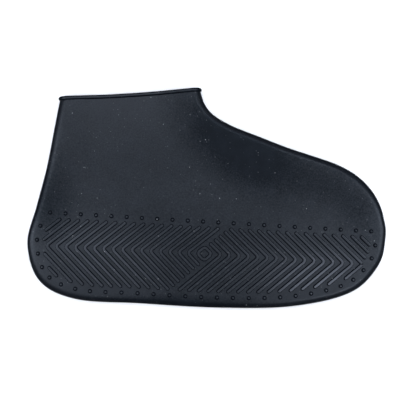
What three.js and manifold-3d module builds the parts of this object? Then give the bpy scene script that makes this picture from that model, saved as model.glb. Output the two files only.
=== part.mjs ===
// A slip-on rain overshoe moulded in one piece of rubber, lying folded flat on its side.
// The frame is in millimetres: X runs from heel to toe, Y from sole to collar, Z up from the surface.
import * as THREE from "three";
import { mergeVertices } from "three/addons/utils/BufferGeometryUtils.js";
import Module from "manifold-3d";

// Main sizes of the folded overshoe
const LENGTH = 260;
const HEIGHT = 160;
const FOLDED_THICKNESS = 10.4;
const WALL = 1.5;
const WALL_SAG = 1.5;
const SAG_REACH = 34;

// Bead round the collar
const BEAD_HEIGHT = 3.2;
const BEAD_STAND_OUT = 1.2;
const BEAD_DIP = 0.9;

// Tread: ribs in nested chevrons round a small diamond ring
const TREAD_RELIEF = 1.2;
const RIB_WIDTH = 3;
const RIB_TOP_WIDTH = 1.9;
const RIB_PITCH = 6.8;
const UPPER_RIB_ANGLE_DEG = 41.2;
const LOWER_RIB_ANGLE_DEG = 43.2;
const RING_HALF_DIAGONAL = 5.45;
const RING_INNER_RADIUS = 0.2;
const TREAD_TILT_DEG = 3.36;
const TREAD_BOW_DEG = 0.5;
const TREAD_RISE = 22.95;
const RIB_END_GAP = 2.4;
const SHORTEST_RIB = 5;

// Studs in a closed row round the ribs
const STUD_DIAMETER = 2.9;
const STUD_SPACING = 11.2;
const BENT_ROW_SPACING = 11.5;
const STUD_EDGE_MARGIN = 7.8;
const STUD_ROW_MARGIN = 11.6;
const STUD_ROW_TO_BEND = 9.9;
const STUD_TO_RIB = 3.6;
const RIB_FIELD_SHIFT = 0.5;

// Where the middle of the diamond ring sits, as shares of LENGTH and HEIGHT from the middle of the outline
const TREAD_MIDDLE = { x: -0.0064, y: -0.2498 };

// Outline of the folded shape, from the collar down to the tip of the toe, in pairs of points: one on the
// heel and sole side, one on the throat and instep side. Each x is a share of LENGTH and each y of HEIGHT.
const OUTLINE = [
  { soleX: -0.408, soleY: 0.46, instepX: -0.02, instepY: 0.5 },
  { soleX: -0.424, soleY: 0.328, instepX: -0.006, instepY: 0.429 },
  { soleX: -0.447, soleY: 0.137, instepX: 0.02, instepY: 0.377 },
  { soleX: -0.475, soleY: -0.035, instepX: 0.07, instepY: 0.329 },
  { soleX: -0.501, soleY: -0.209, instepX: 0.144, instepY: 0.281 },
  { soleX: -0.466, soleY: -0.378, instepX: 0.225, instepY: 0.23 },
  { soleX: -0.364, soleY: -0.459, instepX: 0.303, instepY: 0.188 },
  { soleX: -0.186, soleY: -0.478, instepX: 0.365, instepY: 0.152 },
  { soleX: 0.023, soleY: -0.497, instepX: 0.415, instepY: 0.107 },
  { soleX: 0.233, soleY: -0.492, instepX: 0.454, instepY: 0.049 },
  { soleX: 0.4, soleY: -0.43, instepX: 0.481, instepY: -0.02 },
  { soleX: 0.48, soleY: -0.305, instepX: 0.495, instepY: -0.091 },
];
const TOE_TIP = { x: 0.5, y: -0.173 };

// Section of the bead: shares of its stand-out (with the wall) and of half its height, from its lower
// edge on the inside of the wall, round the outside, to its upper edge.
const BEAD_SECTION = [
  { out: 0, up: -1 },
  { out: 0.5, up: -0.87 },
  { out: 0.87, up: -0.5 },
  { out: 1, up: 0 },
  { out: 0.87, up: 0.5 },
  { out: 0.5, up: 0.87 },
  { out: 0, up: 1 },
];

// Section of a stud: shares of its radius and of the tread's relief
const STUD_SECTION = [
  { radius: 1, rise: 0.35 },
  { radius: 0.8, rise: 0.8 },
  { radius: 0.4, rise: 1 },
];

// How finely the curves are divided
const STEPS_PER_PAIR = 3;
const FACE_COLUMNS = 6;
const OUTER_FOLD_STEPS = 4;
const INNER_FOLD_STEPS = 2;
const BEAD_FACE_STEPS = 6;
const BEAD_END_STEPS = 5;
const RIB_END_STEPS = 3;
const RIB_CORNER_STEPS = 1;
const STUD_SIDES = 6;

// Material
const RUBBER_COLOUR = 0x23262d;
const RUBBER_ROUGHNESS = 0.5;

const FOLD_RADIUS = FOLDED_THICKNESS / 2;
const ROOT_DEPTH = WALL / 2;
const TRIM_ALLOWANCE = 4 * BEAD_HEIGHT;
const { degToRad, smoothstep } = THREE.MathUtils;

const wasm = await Module();
wasm.setup();

// The closed solid of a geometry.
function solidOf(geometry) {
  const bare = geometry.clone();
  bare.deleteAttribute("normal");
  bare.deleteAttribute("uv");
  const merged = mergeVertices(bare);
  return new wasm.Manifold(
    new wasm.Mesh({
      numProp: 3,
      vertProperties: merged.attributes.position.array,
      triVerts: new Uint32Array(merged.index.array),
    }),
  );
}

// Gathers triangles of Vector3 corners into a geometry.
function geometryOf(triangles) {
  const values = triangles.flatMap((corner) => [corner.x, corner.y, corner.z]);
  const geometry = new THREE.BufferGeometry();
  geometry.setAttribute("position", new THREE.Float32BufferAttribute(values, 3));
  return geometry;
}

// Triangles between two rows of corners of the same count; a closed pair of rows joins its ends.
function strip(lower, upper, closed) {
  const triangles = [];
  const count = closed ? lower.length : lower.length - 1;
  for (let i = 0; i < count; i++) {
    const next = (i + 1) % lower.length;
    triangles.push(lower[i], lower[next], upper[next]);
    triangles.push(lower[i], upper[next], upper[i]);
  }
  return triangles;
}

// Triangles of a flat, level face inside an anticlockwise row of corners, facing up or down.
function levelFace(row, facesUp) {
  const flat = row.map((corner) => new THREE.Vector2(corner.x, corner.y));
  const faces = THREE.ShapeUtils.triangulateShape(flat, []);
  return faces.flatMap(([a, b, c]) => (facesUp ? [row[a], row[b], row[c]] : [row[a], row[c], row[b]]));
}

// A solid from level rows stacked upwards, closed by a flat face at each end.
function stackedSolid(rows) {
  const sides = rows.slice(1).flatMap((row, i) => strip(rows[i], row, true));
  const ends = [...levelFace(rows[0], false), ...levelFace(rows[rows.length - 1], true)];
  return solidOf(geometryOf([...sides, ...ends]));
}

// A solid ring from closed sections that follow each other round a loop.
function ringSolid(sections) {
  const following = (i) => sections[(i + 1) % sections.length];
  return solidOf(geometryOf(sections.flatMap((section, i) => strip(section, following(i), true))));
}

const outlinePoint = (x, y) => new THREE.Vector3(x * LENGTH, y * HEIGHT, 0);
const soleSide = OUTLINE.map((pair) => outlinePoint(pair.soleX, pair.soleY));
const instepSide = OUTLINE.map((pair) => outlinePoint(pair.instepX, pair.instepY));
const outlineCurve = new THREE.CatmullRomCurve3(
  [...soleSide, outlinePoint(TOE_TIP.x, TOE_TIP.y), ...instepSide.toReversed()],
  false,
  "catmullrom",
);
const outlineSteps = 2 * OUTLINE.length * STEPS_PER_PAIR;
const outline = outlineCurve.getPoints(outlineSteps).map((point) => new THREE.Vector2(point.x, point.y));

// The collar's edge: a straight line from the heel side to the throat side.
const collarHeel = outline[0];
const collarThroat = outline[outline.length - 1];
const alongCollar = collarThroat.clone().sub(collarHeel).normalize();
const aboveCollar = new THREE.Vector2(-alongCollar.y, alongCollar.x);

// The point where an end of the outline, carried on straight, is the given height above the collar's edge.
function carriedOn(end, before, height) {
  const direction = end.clone().sub(before).normalize();
  return end.clone().addScaledVector(direction, height / direction.dot(aboveCollar));
}
const heelAt = (height) => carriedOn(collarHeel, outline[1], height);
const throatAt = (height) => carriedOn(collarThroat, outline[outline.length - 2], height);

// The outline carried on past the collar and closed there by a straight edge, anticlockwise.
const spareHeel = heelAt(TRIM_ALLOWANCE);
const spareThroat = throatAt(TRIM_ALLOWANCE);
const spareEdge = Array.from({ length: FACE_COLUMNS }, (_, i) =>
  spareThroat.clone().lerp(spareHeel, (i + 1) / (FACE_COLUMNS + 1)),
);
const closedOutline = [spareHeel, ...outline, spareThroat, ...spareEdge];

// The closed outline moved inwards by a distance, with mitred corners.
function insetOutline(distance) {
  const count = closedOutline.length;
  return closedOutline.map((point, i) => {
    const before = point.clone().sub(closedOutline[(i + count - 1) % count]).normalize();
    const after = closedOutline[(i + 1) % count].clone().sub(point).normalize();
    const inward = new THREE.Vector2(-before.y - after.y, before.x + after.x).normalize();
    const mitre = distance / (before.x * inward.y - before.y * inward.x);
    return point.clone().addScaledVector(inward, mitre);
  });
}

// The distance from a point to the outline, the collar's edge left out.
function edgeDistance(point) {
  let nearest = Infinity;
  for (let i = 0; i + 1 < outline.length; i++) {
    const side = outline[i + 1].clone().sub(outline[i]);
    const offset = point.clone().sub(outline[i]);
    const share = THREE.MathUtils.clamp(offset.dot(side) / side.lengthSq(), 0, 1);
    nearest = Math.min(nearest, offset.addScaledVector(side, -share).length());
  }
  return nearest;
}

// The tread's own directions and its edge towards the collar.
const treadMiddle = new THREE.Vector2(TREAD_MIDDLE.x * LENGTH, TREAD_MIDDLE.y * HEIGHT);
const origin = new THREE.Vector2(0, 0);
const treadAlong = new THREE.Vector2(1, 0).rotateAround(origin, -degToRad(TREAD_TILT_DEG));
const treadUp = new THREE.Vector2(-treadAlong.y, treadAlong.x);
const riseAboveStuds = (point) => point.clone().sub(treadMiddle).dot(treadUp) - TREAD_RISE;

// How far the upper wall sags at a point: nothing at the fold and over the tread, most in the leg.
function sagAt(point) {
  const fromFold = smoothstep(edgeDistance(point), FOLD_RADIUS, SAG_REACH);
  const fromTread = smoothstep(riseAboveStuds(point), STUD_DIAMETER, SAG_REACH);
  return WALL_SAG * fromFold * fromTread;
}

// A closed pillow inside the outline: rounded folds, a flat underside and a sagging upper face. It lies
// inset from the outline by the given distance, and its folds share their middle line with the outer ones.
function pillow(inset, foldSteps) {
  const radius = FOLD_RADIUS - inset;
  const rowAt = (angle) => {
    const distance = inset + radius * (1 - Math.cos(angle));
    const lift = Math.max(Math.sin(angle), 0);
    return insetOutline(distance).map(
      (point) => new THREE.Vector3(point.x, point.y, radius * Math.sin(angle) - lift * sagAt(point)),
    );
  };
  const rows = [];
  for (let i = -foldSteps; i <= foldSteps; i++) {
    rows.push(rowAt((i / foldSteps) * (Math.PI / 2)));
  }
  const triangles = rows.slice(1).flatMap((row, i) => strip(rows[i], row, true));
  triangles.push(...levelFace(rows[0], false));

  // The upper face: a line of points across each pair of outline points, from the collar to the toe
  const rim = rows[rows.length - 1];
  const sideCount = outline.length + 2;
  const tip = (sideCount - 1) / 2;
  const crossLine = (i) => {
    const heel = rim[i];
    const throat = rim[sideCount - 1 - i];
    const inner = Array.from({ length: FACE_COLUMNS }, (_, k) => {
      const point = heel.clone().lerp(throat, (k + 1) / (FACE_COLUMNS + 1));
      point.z = radius - sagAt(new THREE.Vector2(point.x, point.y));
      return point;
    });
    return [heel, ...inner, throat];
  };
  const lines = Array.from({ length: tip }, (_, i) => crossLine(i));
  lines[0] = [rim[0], ...rim.slice(sideCount).toReversed(), rim[sideCount - 1]];
  lines.slice(1).forEach((line, i) => triangles.push(...strip(line, lines[i], false)));
  const last = lines[lines.length - 1];
  last.slice(1).forEach((corner, i) => triangles.push(rim[tip], corner, last[i]));
  return solidOf(geometryOf(triangles));
}

// A block that removes everything above a line parallel to the collar's edge.
function blockAbove(height) {
  const block = new THREE.BoxGeometry(2 * LENGTH, HEIGHT, 4 * FOLDED_THICKNESS);
  const middle = collarHeel.clone().addScaledVector(aboveCollar, height + HEIGHT / 2);
  block.rotateZ(alongCollar.angle());
  block.translate(middle.x, middle.y, 0);
  return solidOf(block);
}

// The bead: one section carried round the mouth's long loop, flush with the inside of the wall.
function collarBead() {
  const level = -BEAD_HEIGHT / 2;
  const heel = heelAt(level).addScaledVector(alongCollar, FOLD_RADIUS);
  const throat = throatAt(level).addScaledVector(alongCollar, -FOLD_RADIUS);
  const inside = FOLD_RADIUS - WALL;
  const depth = WALL + BEAD_STAND_OUT;
  const sectionAt = (middle, angle, sag, dip) =>
    BEAD_SECTION.map((corner) => {
      const reach = inside + corner.out * depth;
      const rise = (corner.up * BEAD_HEIGHT) / 2 - dip;
      return new THREE.Vector3(
        middle.x + alongCollar.x * reach * Math.cos(angle) + aboveCollar.x * rise,
        middle.y + alongCollar.y * reach * Math.cos(angle) + aboveCollar.y * rise,
        reach * Math.sin(angle) - sag,
      );
    });
  const endSections = (middle, startTurns) =>
    Array.from({ length: BEAD_END_STEPS + 1 }, (_, i) =>
      sectionAt(middle, (i / BEAD_END_STEPS + startTurns) * Math.PI, 0, 0),
    );
  const faceSections = (from, to, side) =>
    Array.from({ length: BEAD_FACE_STEPS - 1 }, (_, i) => {
      const share = (i + 1) / BEAD_FACE_STEPS;
      const middle = from.clone().lerp(to, share);
      const sag = side > 0 ? sagAt(middle) : 0;
      return sectionAt(middle, (side * Math.PI) / 2, sag, BEAD_DIP * Math.sin(share * Math.PI));
    });
  return ringSolid([
    ...endSections(throat, -0.5),
    ...faceSections(throat, heel, 1),
    ...endSections(heel, 0.5),
    ...faceSections(heel, throat, -1),
  ]);
}

// Where a straight line through a point runs inside a convex loop, as distances along it.
function spanInside(loop, start, direction) {
  const crossings = [];
  loop.forEach((corner, i) => {
    const side = loop[(i + 1) % loop.length].clone().sub(corner);
    const toCorner = corner.clone().sub(start);
    const across = direction.cross(side);
    if (across === 0) return;
    const share = toCorner.cross(direction) / across;
    if (share >= 0 && share < 1) crossings.push(toCorner.cross(side) / across);
  });
  return crossings.length < 2 ? null : { from: Math.min(...crossings), to: Math.max(...crossings) };
}

// The part of the outline's inside, a margin in from its edge, that lies below a line over the tread.
function treadField(margin, drop) {
  const loop = insetOutline(margin);
  const above = loop.map((point) => riseAboveStuds(point) + drop);
  const field = [];
  loop.forEach((point, i) => {
    const next = (i + 1) % loop.length;
    if (above[i] <= 0) field.push(point);
    if (above[i] <= 0 !== above[next] <= 0) {
      field.push(point.clone().lerp(loop[next], above[i] / (above[i] - above[next])));
    }
  });
  return field;
}

// A point moved by a distance in the direction of an angle.
function movedBy(point, distance, angle) {
  return new THREE.Vector2(point.x + distance * Math.cos(angle), point.y + distance * Math.sin(angle));
}

// The outline of a rib along a path of two or three points, with round ends and a rounded outer corner.
function ribOutline(path, width) {
  const half = width / 2;
  const corners = [];
  const rightOf = (direction) => Math.atan2(-direction.x, direction.y);
  const arc = (middle, from, turn, steps) => {
    for (let i = 0; i <= steps; i++) {
      corners.push(movedBy(middle, half, from + (turn * i) / steps));
    }
  };
  for (const way of [path, path.toReversed()]) {
    for (let i = 1; i < way.length; i++) {
      const before = way[i].clone().sub(way[i - 1]).normalize();
      if (i === way.length - 1) {
        arc(way[i], rightOf(before), Math.PI, RIB_END_STEPS);
        continue;
      }
      const after = way[i + 1].clone().sub(way[i]).normalize();
      const turn = Math.atan2(before.cross(after), before.dot(after));
      if (turn > 0) {
        arc(way[i], rightOf(before), turn, RIB_CORNER_STEPS);
      } else {
        corners.push(movedBy(way[i], half / Math.cos(turn / 2), rightOf(before) + turn / 2));
      }
    }
  }
  return corners;
}

const level = (row, z) => row.map((point) => new THREE.Vector3(point.x, point.y, z));

// A raised rib on the upper face, rooted in the wall.
function rib(path) {
  const foot = ribOutline(path, RIB_WIDTH);
  const crown = ribOutline(path, RIB_TOP_WIDTH);
  return stackedSolid([
    level(foot, FOLD_RADIUS - ROOT_DEPTH),
    level(foot, FOLD_RADIUS),
    level(crown, FOLD_RADIUS + TREAD_RELIEF),
  ]);
}

// The path of one chevron arm from its apex, kept a rib's half width inside the field.
function armSpan(field, apex, direction, stop) {
  const span = spanInside(field, apex, direction);
  if (!span) return null;
  const from = Math.max(span.from + RIB_WIDTH / 2, 0);
  let to = span.to - RIB_WIDTH / 2;
  if (stop) {
    const clearance = RIB_WIDTH + RIB_END_GAP;
    const away = apex.clone().sub(stop.point).dot(stop.normal) - clearance;
    to = Math.min(to, away / -direction.dot(stop.normal));
  }
  return { from, to };
}

// Both groups of chevrons. The heel group opens towards the toe and the toe group towards the heel. Each
// group's line of apexes falls away from the tread's line. The arm that leans the other way stops short of
// the first rib of the other group.
function chevronPaths() {
  const field = treadField(STUD_EDGE_MARGIN + STUD_TO_RIB, STUD_TO_RIB);
  field.forEach((point) => point.addScaledVector(treadAlong, RIB_FIELD_SHIFT));
  const paths = [];
  const upper = degToRad(UPPER_RIB_ANGLE_DEG);
  const lower = degToRad(LOWER_RIB_ANGLE_DEG);
  const groups = [
    { sense: -1, unbroken: upper, broken: -lower, stopAngle: lower },
    { sense: 1, unbroken: lower + Math.PI, broken: Math.PI - upper, stopAngle: upper },
  ];
  const apexAt = (sense, k) => {
    const line = treadAlong.clone().rotateAround(origin, -sense * degToRad(TREAD_BOW_DEG));
    return treadMiddle.clone().addScaledVector(line, sense * (RING_HALF_DIAGONAL + k * RIB_PITCH));
  };
  const ribCount = Math.ceil(LENGTH / RIB_PITCH);
  for (const { sense, unbroken, broken, stopAngle } of groups) {
    const through = treadAlong.clone().rotateAround(origin, unbroken);
    const short = treadAlong.clone().rotateAround(origin, broken);
    const stop = {
      point: apexAt(-sense, 1),
      normal: treadUp.clone().rotateAround(origin, stopAngle).multiplyScalar(-sense),
    };
    for (let k = 1; k <= ribCount; k++) {
      const apex = apexAt(sense, k);
      const arms = [
        { direction: through, span: armSpan(field, apex, through, null) },
        { direction: short, span: armSpan(field, apex, short, stop) },
      ].filter(({ span }) => span && span.to - span.from > SHORTEST_RIB);
      const ends = arms.map(({ direction, span }) => apex.clone().addScaledVector(direction, span.to));
      if (arms.length === 2 && arms.every(({ span }) => span.from === 0)) {
        paths.push([ends[0], apex, ends[1]]);
        continue;
      }
      arms.forEach(({ direction, span }, i) => {
        paths.push([apex.clone().addScaledVector(direction, span.from), ends[i]]);
      });
    }
  }
  return paths;
}

// The diamond ring in the middle of the tread, with the ribs' own section and lean.
function diamondRing() {
  const half = RING_HALF_DIAGONAL;
  const corners = [
    { along: half, up: 0 },
    { along: 0, up: half * Math.tan(degToRad(UPPER_RIB_ANGLE_DEG)) },
    { along: -half, up: 0 },
    { along: 0, up: -half * Math.tan(degToRad(LOWER_RIB_ANGLE_DEG)) },
  ];
  const corner = ({ along, up }) =>
    treadMiddle.clone().addScaledVector(treadAlong, along).addScaledVector(treadUp, up);
  const path = corners.map(corner);
  const rounding = RIB_WIDTH / 2 + RING_INNER_RADIUS;
  const row = (reach) =>
    path.flatMap((point, i) => {
      const before = point.clone().sub(path[(i + path.length - 1) % path.length]).normalize();
      const after = path[(i + 1) % path.length].clone().sub(point).normalize();
      const turn = Math.atan2(before.cross(after), before.dot(after));
      const start = Math.atan2(-before.x, before.y);
      const inset = rounding / Math.cos(turn / 2);
      const bisector = start + turn / 2;
      return Array.from({ length: RIB_CORNER_STEPS + 1 }, (_, k) => {
        const heading = start + (turn * k) / RIB_CORNER_STEPS;
        return movedBy(movedBy(point, -inset, bisector), rounding + reach, heading);
      });
    });
  const outerFoot = row(RIB_WIDTH / 2);
  const outerCrown = row(RIB_TOP_WIDTH / 2);
  const innerCrown = row(-RIB_TOP_WIDTH / 2);
  const innerFoot = row(-RIB_WIDTH / 2);
  const sections = outerFoot.map((_, i) => [
    new THREE.Vector3(outerFoot[i].x, outerFoot[i].y, FOLD_RADIUS - ROOT_DEPTH),
    new THREE.Vector3(innerFoot[i].x, innerFoot[i].y, FOLD_RADIUS - ROOT_DEPTH),
    new THREE.Vector3(innerFoot[i].x, innerFoot[i].y, FOLD_RADIUS),
    new THREE.Vector3(innerCrown[i].x, innerCrown[i].y, FOLD_RADIUS + TREAD_RELIEF),
    new THREE.Vector3(outerCrown[i].x, outerCrown[i].y, FOLD_RADIUS + TREAD_RELIEF),
    new THREE.Vector3(outerFoot[i].x, outerFoot[i].y, FOLD_RADIUS),
  ]);
  return ringSolid(sections);
}

// A domed stud on the upper face, rooted in the wall.
function stud(middle) {
  const radius = STUD_DIAMETER / 2;
  const circle = (share) =>
    Array.from({ length: STUD_SIDES }, (_, i) =>
      movedBy(middle, share * radius, (2 * Math.PI * i) / STUD_SIDES),
    );
  const rows = STUD_SECTION.map((ring) => level(circle(ring.radius), FOLD_RADIUS + ring.rise * TREAD_RELIEF));
  return stackedSolid([level(circle(STUD_SECTION[0].radius), FOLD_RADIUS - ROOT_DEPTH), ...rows]);
}

// An open path moved sideways to its right by a distance.
function movedRight(path, distance) {
  return path.map((point, i) => {
    const before = path[Math.max(i - 1, 0)];
    const after = path[Math.min(i + 1, path.length - 1)];
    const ahead = after.clone().sub(before).normalize();
    return point.clone().add(new THREE.Vector2(ahead.y, -ahead.x).multiplyScalar(distance));
  });
}

// Points on an open path, both ends included, spaced evenly as measured along a guide beside it. They come
// as near to the spacing as the guide's length allows.
function spacedAlong(path, guide, spacing) {
  const lengths = guide.slice(1).map((point, i) => point.distanceTo(guide[i]));
  const total = lengths.reduce((sum, length) => sum + length, 0);
  const count = Math.round(total / spacing);
  const points = [path[0]];
  let passed = 0;
  lengths.forEach((length, i) => {
    for (let at = (points.length * total) / count; points.length < count && at <= passed + length; ) {
      points.push(path[i].clone().lerp(path[i + 1], (at - passed) / length));
      at = (points.length * total) / count;
    }
    passed += length;
  });
  return [...points, path[path.length - 1]];
}

// The studs' middles: a straight row over the ribs, and a bent row round heel, sole and toe, whose spacing
// is measured along the middle of the fold.
function studMiddles() {
  const field = treadField(STUD_ROW_MARGIN, 0);
  const row = [field[0], field[field.length - 1]];
  const bend = treadField(STUD_EDGE_MARGIN, STUD_ROW_TO_BEND);
  const fold = movedRight(bend, STUD_EDGE_MARGIN - FOLD_RADIUS / 2);
  return [...spacedAlong(row, row, STUD_SPACING), ...spacedAlong(bend, fold, BENT_ROW_SPACING)];
}

// The same relief on the lower wall: a mirror image below the middle plane.
function mirrored(solid) {
  const mesh = solid.getMesh();
  const values = new Float32Array(mesh.vertProperties);
  for (let i = 2; i < values.length; i += 3) values[i] = -values[i];
  const corners = new Uint32Array(mesh.triVerts);
  for (let i = 0; i < corners.length; i += 3) corners.set([mesh.triVerts[i + 1], mesh.triVerts[i]], i);
  return new wasm.Manifold(new wasm.Mesh({ numProp: 3, vertProperties: values, triVerts: corners }));
}

// Build: a hollow folded shell, open at the collar, then its bead and the relief of both walls.
const shell = pillow(0, OUTER_FOLD_STEPS)
  .subtract(pillow(WALL, INNER_FOLD_STEPS))
  .subtract(blockAbove(-BEAD_HEIGHT / 2));
const raised = [...chevronPaths().map(rib), ...studMiddles().map(stud)];
const relief = raised.reduce((sum, piece) => sum.add(piece), diamondRing());
const overshoe = shell.add(collarBead()).add(relief).add(mirrored(relief));

const built = overshoe.getMesh();
const geometry = new THREE.BufferGeometry();
geometry.setAttribute("position", new THREE.BufferAttribute(built.vertProperties, 3));
geometry.setIndex(new THREE.BufferAttribute(built.triVerts, 1));

// The origin is the middle of the underside of the bounding box.
geometry.computeBoundingBox();
const box = geometry.boundingBox;
const middle = box.getCenter(new THREE.Vector3());
geometry.translate(-middle.x, -middle.y, -box.min.z);
geometry.computeVertexNormals();

const material = new THREE.MeshStandardMaterial({
  color: RUBBER_COLOUR,
  roughness: RUBBER_ROUGHNESS,
  metalness: 0,
});
const overshoeMesh = new THREE.Mesh(geometry, material);
overshoeMesh.name = "overshoe";

const part = new THREE.Group();
part.name = "rain_overshoe";
part.add(overshoeMesh);
export default part;
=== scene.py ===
"""A black rubber rain overshoe lying folded flat on its side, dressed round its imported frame."""

import bpy
import numpy as np
from bpy.props import FloatProperty, FloatVectorProperty, PointerProperty
from bpy.types import Operator, Panel, PropertyGroup
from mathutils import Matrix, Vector


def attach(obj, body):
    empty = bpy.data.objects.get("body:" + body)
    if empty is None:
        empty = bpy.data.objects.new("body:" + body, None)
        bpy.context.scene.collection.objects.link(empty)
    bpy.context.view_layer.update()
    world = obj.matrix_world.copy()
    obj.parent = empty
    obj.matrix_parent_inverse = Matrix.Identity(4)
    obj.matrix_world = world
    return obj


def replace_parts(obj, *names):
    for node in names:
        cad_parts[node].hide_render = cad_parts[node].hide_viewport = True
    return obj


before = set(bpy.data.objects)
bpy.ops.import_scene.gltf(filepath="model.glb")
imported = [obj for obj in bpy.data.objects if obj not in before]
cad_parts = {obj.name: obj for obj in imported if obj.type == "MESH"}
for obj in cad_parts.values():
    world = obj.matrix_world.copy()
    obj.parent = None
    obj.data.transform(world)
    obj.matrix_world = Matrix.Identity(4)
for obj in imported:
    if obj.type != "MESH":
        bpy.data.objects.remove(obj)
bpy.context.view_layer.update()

bl_info = {
    "name": "Rain Overshoe",
    "version": (1, 0, 0),
    "blender": (4, 5, 0),
    "location": "View3D > Sidebar > Overshoe",
    "description": "Builds a moulded rain overshoe with its collar bead, tread ribs and studs",
    "category": "Add Mesh",
}

NODE = "overshoe"
BODY = "root"

# Pairs of outline points from the collar to the toe: sole side x, y, then instep side x, y, as shares of the
# length and of the height.
OUTLINE_PAIRS = np.array(
    [
        [-0.408, 0.460, -0.020, 0.500],
        [-0.424, 0.328, -0.006, 0.429],
        [-0.447, 0.137, 0.020, 0.377],
        [-0.475, -0.035, 0.070, 0.329],
        [-0.501, -0.209, 0.144, 0.281],
        [-0.466, -0.378, 0.225, 0.230],
        [-0.364, -0.459, 0.303, 0.188],
        [-0.186, -0.478, 0.365, 0.152],
        [0.023, -0.497, 0.415, 0.107],
        [0.233, -0.492, 0.454, 0.049],
        [0.400, -0.430, 0.481, -0.020],
        [0.480, -0.305, 0.495, -0.091],
    ]
)
TOE_TIP = np.array([0.5, -0.173])
TREAD_MIDDLE = np.array([-0.0064, -0.2498])

# Section of a stud from foot to crown, as shares of its radius and of the tread's relief
STUD_SECTION = np.array(
    [
        [1.25, -0.10],
        [1.12, 0.02],
        [1.04, 0.18],
        [0.90, 0.50],
        [0.68, 0.80],
        [0.50, 0.90],
        [0.36, 0.96],
        [0.18, 0.99],
        [0.00, 1.00],
    ]
)

# Section of a rib from foot to crown: how far in from the foot the side that faces the diamond ring is, then
# the outer side, as shares of the flank's width, and the height as a share of the tread's relief. The side
# that faces the ring slopes, the outer side is steep, and the crown is a little rounded.
RIB_SECTION = np.array(
    [
        [-0.10, -0.10, -0.10],
        [0.06, 0.02, 0.02],
        [0.45, 0.28, 0.34],
        [0.98, 0.66, 0.82],
        [1.26, 0.98, 0.94],
        [1.65, 1.50, 1.00],
    ]
)

# Radius of a rib's corner over the rib's width
RIB_CORNER = 0.75

# Power of the cosine in the bead's section, where 1 would be an oval
BEAD_SQUARENESS = 0.65

# Share of the sag's reach over which the lines in from the fold turn into the collar's line at the mouth
MOUTH_EASE = 1 / 3

# Fineness of the surfaces
STATIONS = 180
FACE_COLUMNS = 64
FOLD_STEPS = 9
BEAD_LOOP_STEPS = 360
BEAD_SECTION_STEPS = 18
RIB_END_STEPS = 8
RIB_CORNER_STEPS = 7
STUD_SIDES = 14

# A distance to the outline looks at every third point of it, for this many numbers at once
OUTLINE_STRIDE = 3
NUMBERS_AT_ONCE = 8000


# Sizes, finish and stage


def metres(name, description, default):
    """A length."""
    return FloatProperty(name=name, description=description, default=default, unit="LENGTH")


def degrees(name, description, default):
    """An angle, given in degrees."""
    return FloatProperty(name=name, description=description, default=np.radians(default), subtype="ANGLE")


def watts(name, default):
    """The power of a light."""
    return FloatProperty(name=name, description="Power", default=default, min=0, unit="POWER")


def fraction(name, description, default):
    """A number from 0 to 1."""
    return FloatProperty(name=name, description=description, default=default, min=0, max=1)


def rgb(name, description, default):
    """A colour."""
    return FloatVectorProperty(
        name=name, description=description, default=default, subtype="COLOR", min=0, max=1
    )


class OvershoeSizes(PropertyGroup):
    """The sizes of the folded overshoe."""

    length: metres("Length", "Heel to toe", 0.260)
    height: metres("Height", "Sole to collar", 0.160)
    thickness: metres("Folded thickness", "Over both walls at the fold", 0.0104)
    wall: metres("Wall", "Thickness of one wall", 0.0015)
    sag: metres("Sag", "How far the upper wall sags", 0.0015)
    sag_reach: metres("Sag reach", "Distance over which the sag sets in", 0.034)
    bead_height: metres("Bead height", "Along the leg", 0.0032)
    bead_out: metres("Bead stand-out", "Proud of the wall", 0.0012)
    bead_dip: metres("Bead dip", "Bow of the collar's edge", 0.0009)
    relief: metres("Tread relief", "Height of the tread", 0.0012)
    rib_width: metres("Rib width", "At the foot", 0.003)
    rib_top: metres("Rib top width", "Across the crown", 0.0019)
    rib_pitch: metres("Rib pitch", "Apex to apex", 0.0068)
    upper_angle: degrees("Upper rib angle", "From the tread's line, above it", 41.2)
    lower_angle: degrees("Lower rib angle", "From the tread's line, below it", 43.2)
    ring_half: metres("Diamond ring", "Half its diagonal", 0.00545)
    tread_tilt: degrees("Tread tilt", "Fall of the tread's line", 3.36)
    tread_bow: degrees("Tread bow", "Fall of the apexes from the ring", 0.5)
    tread_rise: metres("Tread rise", "Tread's line to the stud row", 0.02295)
    rib_gap: metres("Rib end gap", "Where ribs stop short", 0.0024)
    shortest_rib: metres("Shortest rib", "Shorter are left out", 0.005)
    stud_diameter: metres("Stud diameter", "At the foot", 0.0029)
    stud_spacing: metres("Stud spacing", "Along its row", 0.0112)
    bent_spacing: metres("Bent row spacing", "Along the middle of the fold", 0.0115)
    stud_margin: metres("Stud margin", "From the outline", 0.0078)
    row_margin: metres("Row margin", "From the outline, at the straight row", 0.0116)
    row_to_bend: metres("Row to bend", "Straight row to the bent row's ends", 0.0099)
    stud_to_rib: metres("Stud to rib", "Studs to rib ends", 0.0036)
    rib_shift: metres("Rib shift", "Rib field towards the toe", 0.0005)


class OvershoeFinish(PropertyGroup):
    """The finish of the rubber."""

    colour: rgb("Rubber", "Base colour", (0.0026, 0.0034, 0.0050))
    tint: rgb("Sheen tint", "Colour of the gloss", (0.84, 0.96, 1.0))
    roughness: fraction("Roughness", "Satin finish", 0.36)
    gloss: fraction("Gloss", "Gloss away from the patches", 0.70)
    specks: fraction("Dust", "Strength of dust specks", 0.8)


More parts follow.
